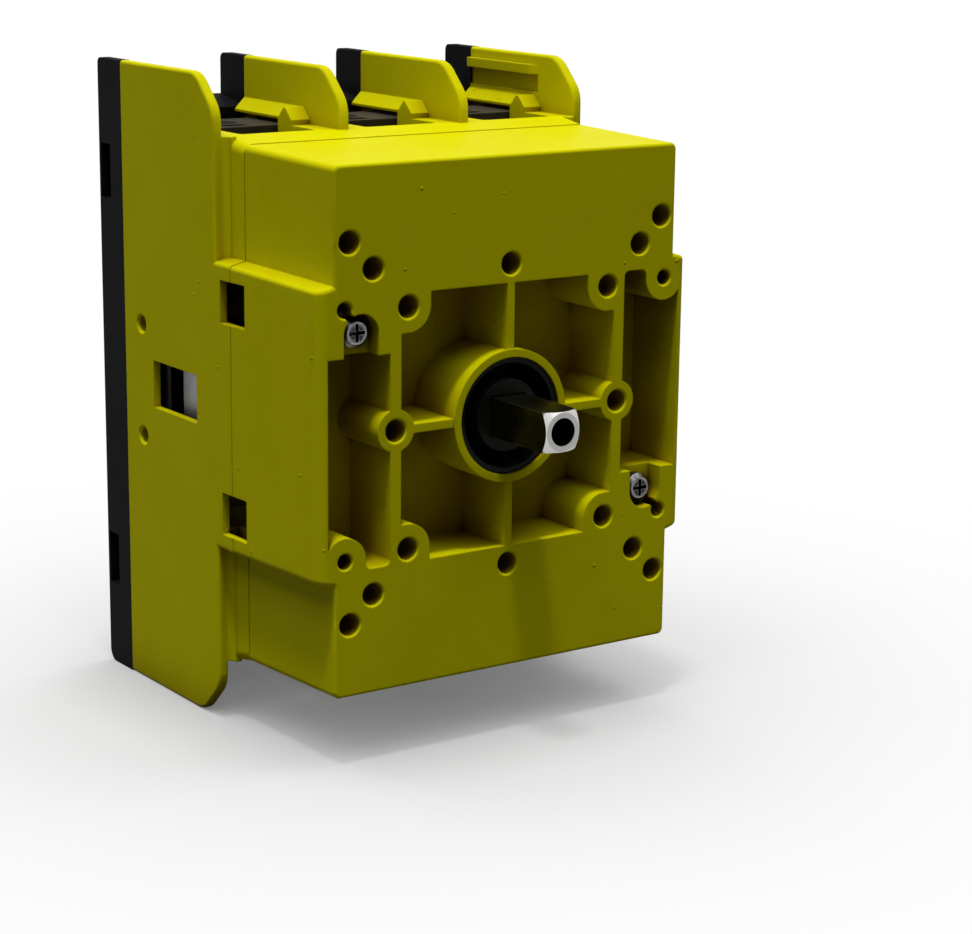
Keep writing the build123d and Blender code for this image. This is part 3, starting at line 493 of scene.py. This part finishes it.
def make_turned_rings():
    """Rings left by turning or heading: a sine of the distance from the nearest axis along Y.
    The axes lie at plus and minus Axis X and at plus and minus Axis Z."""
    group, given, made = effect("turned_rings", {"Axis X": 0.0, "Axis Z": 0.0,
                                                 "Rings per Metre": 6000.0},
                                ["Height", "Radius"])
    place = wire(group, "ShaderNodeSeparateXYZ", {}, {
        0: wire(group, "ShaderNodeTexCoord").outputs["Object"]})
    across = calc(group, "SUBTRACT", calc(group, "ABSOLUTE", place.outputs[0]),
                  given.outputs["Axis X"])
    upward = calc(group, "SUBTRACT", calc(group, "ABSOLUTE", place.outputs[2]),
                  given.outputs["Axis Z"])
    radius = calc(group, "SQRT", calc(group, "ADD", calc(group, "MULTIPLY", across, across),
                                      calc(group, "MULTIPLY", upward, upward)))
    turns_per_metre = calc(group, "MULTIPLY", given.outputs["Rings per Metre"], 2.0 * math.pi)
    waves = calc(group, "SINE", calc(group, "MULTIPLY", radius, turns_per_metre))
    group.links.new(between(group, waves, low=-1.0, high=1.0), made.inputs["Height"])
    group.links.new(radius, made.inputs["Radius"])
    return group


def make_painted_head_shade():
    """Painted shade over the middle of a screw head: all within a radius whose edge is ragged."""
    group, given, made = effect("painted_head_shade", {"Radius": 0.0, "Raggedness": 0.0,
                                                 "Shaded Within": 0.0014, "Unshaded Beyond": 0.0018},
                                ["Mask"])
    ragged_span = 0.0007
    ragged = calc(group, "ADD", given.outputs["Radius"],
                  calc(group, "MULTIPLY", given.outputs["Raggedness"], ragged_span))
    mask = between(group, ragged, given.outputs["Unshaded Beyond"], given.outputs["Shaded Within"])
    group.links.new(mask, made.inputs["Mask"])
    return group


turned_rings = make_turned_rings()
painted_head_shade = make_painted_head_shade()


def plated_screw(name, axis_x, axis_z):
    """Zinc plate: stained, with painted shade over the middle of the head, rings round each screw's
    axis, worn edges and painted shade in the recess."""
    material, tree, shader = new_material(name)
    rings = use(tree, turned_rings, Axis_X=axis_x, Axis_Z=axis_z, Rings_per_Metre=3500.0)
    lines = use(tree, drawn_lines, Stains_per_Metre=800.0)
    worn = use(tree, edge_wear, Reach=0.00012).outputs["Mask"]
    tone = blend_colours(tree, lines.outputs["Tone"], (0.34, 0.345, 0.34, 1),
                         (0.05, 0.052, 0.050, 1))
    # Painted shade: the middle of the head is darkened, and the rim stays lighter.
    head_shade_node = use(tree, painted_head_shade)
    tree.links.new(rings.outputs["Radius"], head_shade_node.inputs["Radius"])
    tree.links.new(lines.outputs["Tone"], head_shade_node.inputs["Raggedness"])
    tone = blend_colours(tree, head_shade_node.outputs["Mask"], tone, (0.022, 0.022, 0.021, 1))
    tone = blend_colours(tree, worn, tone, (0.50, 0.50, 0.51, 1))
    # Painted shade in the cross recess and round the head, where the walls close off the space.
    shade = use(tree, hollow_shade, Reach=0.005, Open_Above=0.85, Closed_Below=0.35)
    tone = blend_colours(tree, shade.outputs["Mask"], tone, (0.012, 0.012, 0.012, 1))
    matt = between(tree, lines.outputs["Tone"], 0.0, 1.0, new_low=0.26, new_high=0.40)
    relief = wire(tree, "ShaderNodeBump", {}, {
        "Strength": 0.25, "Distance": 0.00002, "Height": rings.outputs["Height"]})
    connect(tree, shader, tone, matt, relief)
    shader.inputs["Metallic"].default_value = 1.0
    return material


for kind, axis_x, axis_z in (
        ("cover_screw", 0.02605, 0.01475),
        ("housing_screw", 0.011025, 0.030),
        ("strap_screw", 0.0, 0.0154)):
    finish_node(f"{kind}s", plated_screw(f"{kind}_zinc", axis_x, axis_z))


# Drive shaft

# The shaft is a square steel bar, blackened all over. Its front end is turned round
# # and drilled after the blackening, so the rim and the bore's mouth are bright steel.
# # A painted highlight makes the chamfer facets lighter steel than the flat end face.

bright_from_y = -0.0125
cut_edge = 0.0001
black_steel, tree, shader = new_material("shaft_blackened_steel")
front = wire(tree, "ShaderNodeSeparateXYZ", {}, {
    0: wire(tree, "ShaderNodeTexCoord").outputs["Object"]}).outputs[1]
facing = wire(tree, "ShaderNodeSeparateXYZ", {}, {
    0: wire(tree, "ShaderNodeNewGeometry").outputs["Normal"]}).outputs[1]
looks_forward = between(tree, facing, low=-0.2, high=-0.4)
past_the_cut = between(tree, front, bright_from_y + cut_edge, bright_from_y - cut_edge)
turned = calc(tree, "MULTIPLY", looks_forward, past_the_cut)
lines = use(tree, drawn_lines, Stretch_Y=0.05, Lines_per_Metre=6000.0)
rings = use(tree, turned_rings, Rings_per_Metre=4500.0)
wear = 0.5
worn = calc(tree, "MULTIPLY", use(tree, edge_wear, Reach=0.0003).outputs["Mask"], wear)
bared = calc(tree, "MAXIMUM", turned, worn)
oxide = blend_colours(tree, lines.outputs["Tone"], (0.046, 0.047, 0.026, 1),
                      (0.072, 0.072, 0.038, 1))
# Painted highlight: facets that face partly forward get lighter steel than the end face.
end_face = between(tree, facing, low=-0.80, high=-0.95)
steel_with_painted_facet_highlight = blend_colours(tree, end_face, (0.58, 0.57, 0.55, 1), (0.34, 0.34, 0.33, 1))
tone = blend_colours(tree, bared, oxide, steel_with_painted_facet_highlight)
matt = between(tree, lines.outputs["Height"], 0.3, 0.7, new_low=0.24, new_high=0.36)
drawn = wire(tree, "ShaderNodeBump", {}, {
    "Strength": 0.3, "Distance": 0.00002, "Height": lines.outputs["Height"]})
cut = wire(tree, "ShaderNodeBump", {}, {
    "Strength": 0.25, "Distance": 0.00002,
    "Height": calc(tree, "MULTIPLY", rings.outputs["Height"], turned),
    "Normal": drawn.outputs[0]})
connect(tree, shader, tone, matt, cut)
shader.inputs["Metallic"].default_value = 1.0
finish_node("drive_shaft", black_steel)


# Table, lamp and camera

# The switch stands on its lower barriers on a plain white table, under a soft box and one
# # small lamp. The table looks white to the camera and keeps the switch's shadow; its glow
# # also carries painted shade, dark close under the switch and greyed wider round it. It
# # throws little light back on the sides.

table_size = 8.0
table_top = cad_box[0].z
half = table_size / 2
corners = [(-half, -half, table_top), (half, -half, table_top),
           (half, half, table_top), (-half, half, table_top)]
table_mesh = bpy.data.meshes.new("table")
table_mesh.from_pydata(corners, [], [(0, 1, 2, 3)])
table = bpy.data.objects.new("table", table_mesh)
bpy.context.scene.collection.objects.link(table)


def seen_or_mirrored(tree):
    """1 for the camera's own rays and those that a shiny or clear piece passes on, else 0."""
    ray = wire(tree, "ShaderNodeLightPath")
    passed_on = calc(tree, "MAXIMUM", ray.outputs["Is Glossy Ray"],
                     ray.outputs["Is Transmission Ray"])
    return calc(tree, "MAXIMUM", ray.outputs["Is Camera Ray"], passed_on)


white_top = bpy.data.materials.new("white_table")
white_top.use_nodes = True
tree = white_top.node_tree
tree.nodes.clear()
bouncing = wire(tree, "ShaderNodeBsdfDiffuse", {}, {"Color": (0.09, 0.09, 0.09, 1)})
# Painted shade: the table's glow is darkened where the switch closes off the space near it.
under = wire(tree, "ShaderNodeAmbientOcclusion", {"samples": 16}, {"Distance": 0.028})
around = wire(tree, "ShaderNodeAmbientOcclusion", {"samples": 16}, {"Distance": 0.30})
near_glow_painted_shade = between(tree, under.outputs["AO"], 0.06, 0.88, new_low=0.19, new_high=0.81)
wide_glow_painted_shade = between(tree, around.outputs["AO"], 0.70, 1.00, new_low=0.72, new_high=1.00)
lit = wire(tree, "ShaderNodeBsdfDiffuse", {}, {"Color": (0.21, 0.21, 0.21, 1)})
glow = wire(tree, "ShaderNodeEmission", {}, {
    "Color": (1, 1, 1, 1), "Strength": calc(tree, "MULTIPLY", near_glow_painted_shade, wide_glow_painted_shade)})
visible = wire(tree, "ShaderNodeAddShader", {}, {0: lit.outputs[0], 1: glow.outputs[0]})
mixed = wire(tree, "ShaderNodeMixShader", {}, {
    0: seen_or_mirrored(tree), 1: bouncing.outputs[0], 2: visible.outputs[0]})
wire(tree, "ShaderNodeOutputMaterial", {}, {"Surface": mixed.outputs[0]})
table_mesh.materials.append(white_top)

room = bpy.data.worlds.new("white_room")
bpy.context.scene.world = room
room.use_nodes = True
tree = room.node_tree
tree.nodes.clear()
room_light = 0.02
walls = wire(tree, "ShaderNodeBackground", {}, {
    "Color": (1.0, 1.0, 1.0, 1),
    "Strength": between(tree, seen_or_mirrored(tree), 0.0, 1.0, new_low=room_light)})
wire(tree, "ShaderNodeOutputWorld", {}, {"Surface": walls.outputs[0]})

for name, power, spread, heading in (
        ("spot_lamp", 1.30, 5.0, (0.155, 0.12, -0.98)),
        ("soft_box", 1.88, 74.0, (0.02, 0.0, -1.0))):
    lamp_data = bpy.data.lights.new(name, "SUN")
    lamp_data.energy = power
    lamp_data.angle = math.radians(spread)
    lamp = bpy.data.objects.new(name, lamp_data)
    bpy.context.scene.collection.objects.link(lamp)
    lamp.rotation_euler = Vector(heading).to_track_quat("-Z", "Y").to_euler()

focal_pixels = 2551.0
image_width = 972.0
sensor_width = 36.0
azimuth, elevation, roll = (math.radians(angle) for angle in (-35.04, 13.44, 0.68))
distance, shift_right, shift_up = 0.3801, -0.00353, -0.00767
back = np.array([math.sin(azimuth) * math.cos(elevation),
                 -math.cos(azimuth) * math.cos(elevation), math.sin(elevation)])
level = np.array([math.cos(azimuth), math.sin(azimuth), 0.0])
upright = np.cross(back, level)
right = math.cos(roll) * level + math.sin(roll) * upright
top = -math.sin(roll) * level + math.cos(roll) * upright
eye = back * distance + right * shift_right + top * shift_up
camera_data = bpy.data.cameras.new("photo_camera")
camera_data.sensor_fit = "HORIZONTAL"
camera_data.sensor_width = sensor_width
camera_data.lens = focal_pixels * sensor_width / image_width
camera_data.clip_start, camera_data.clip_end = 0.01, 20.0
camera = bpy.data.objects.new("photo_camera", camera_data)
bpy.context.scene.collection.objects.link(camera)
camera.matrix_world = Matrix(np.block([
    [np.column_stack([right, top, back]), eye[:, None]],
    [np.array([[0.0, 0.0, 0.0, 1.0]])]]).tolist())
bpy.context.scene.camera = camera

bpy.context.scene.view_settings.view_transform = "Standard"
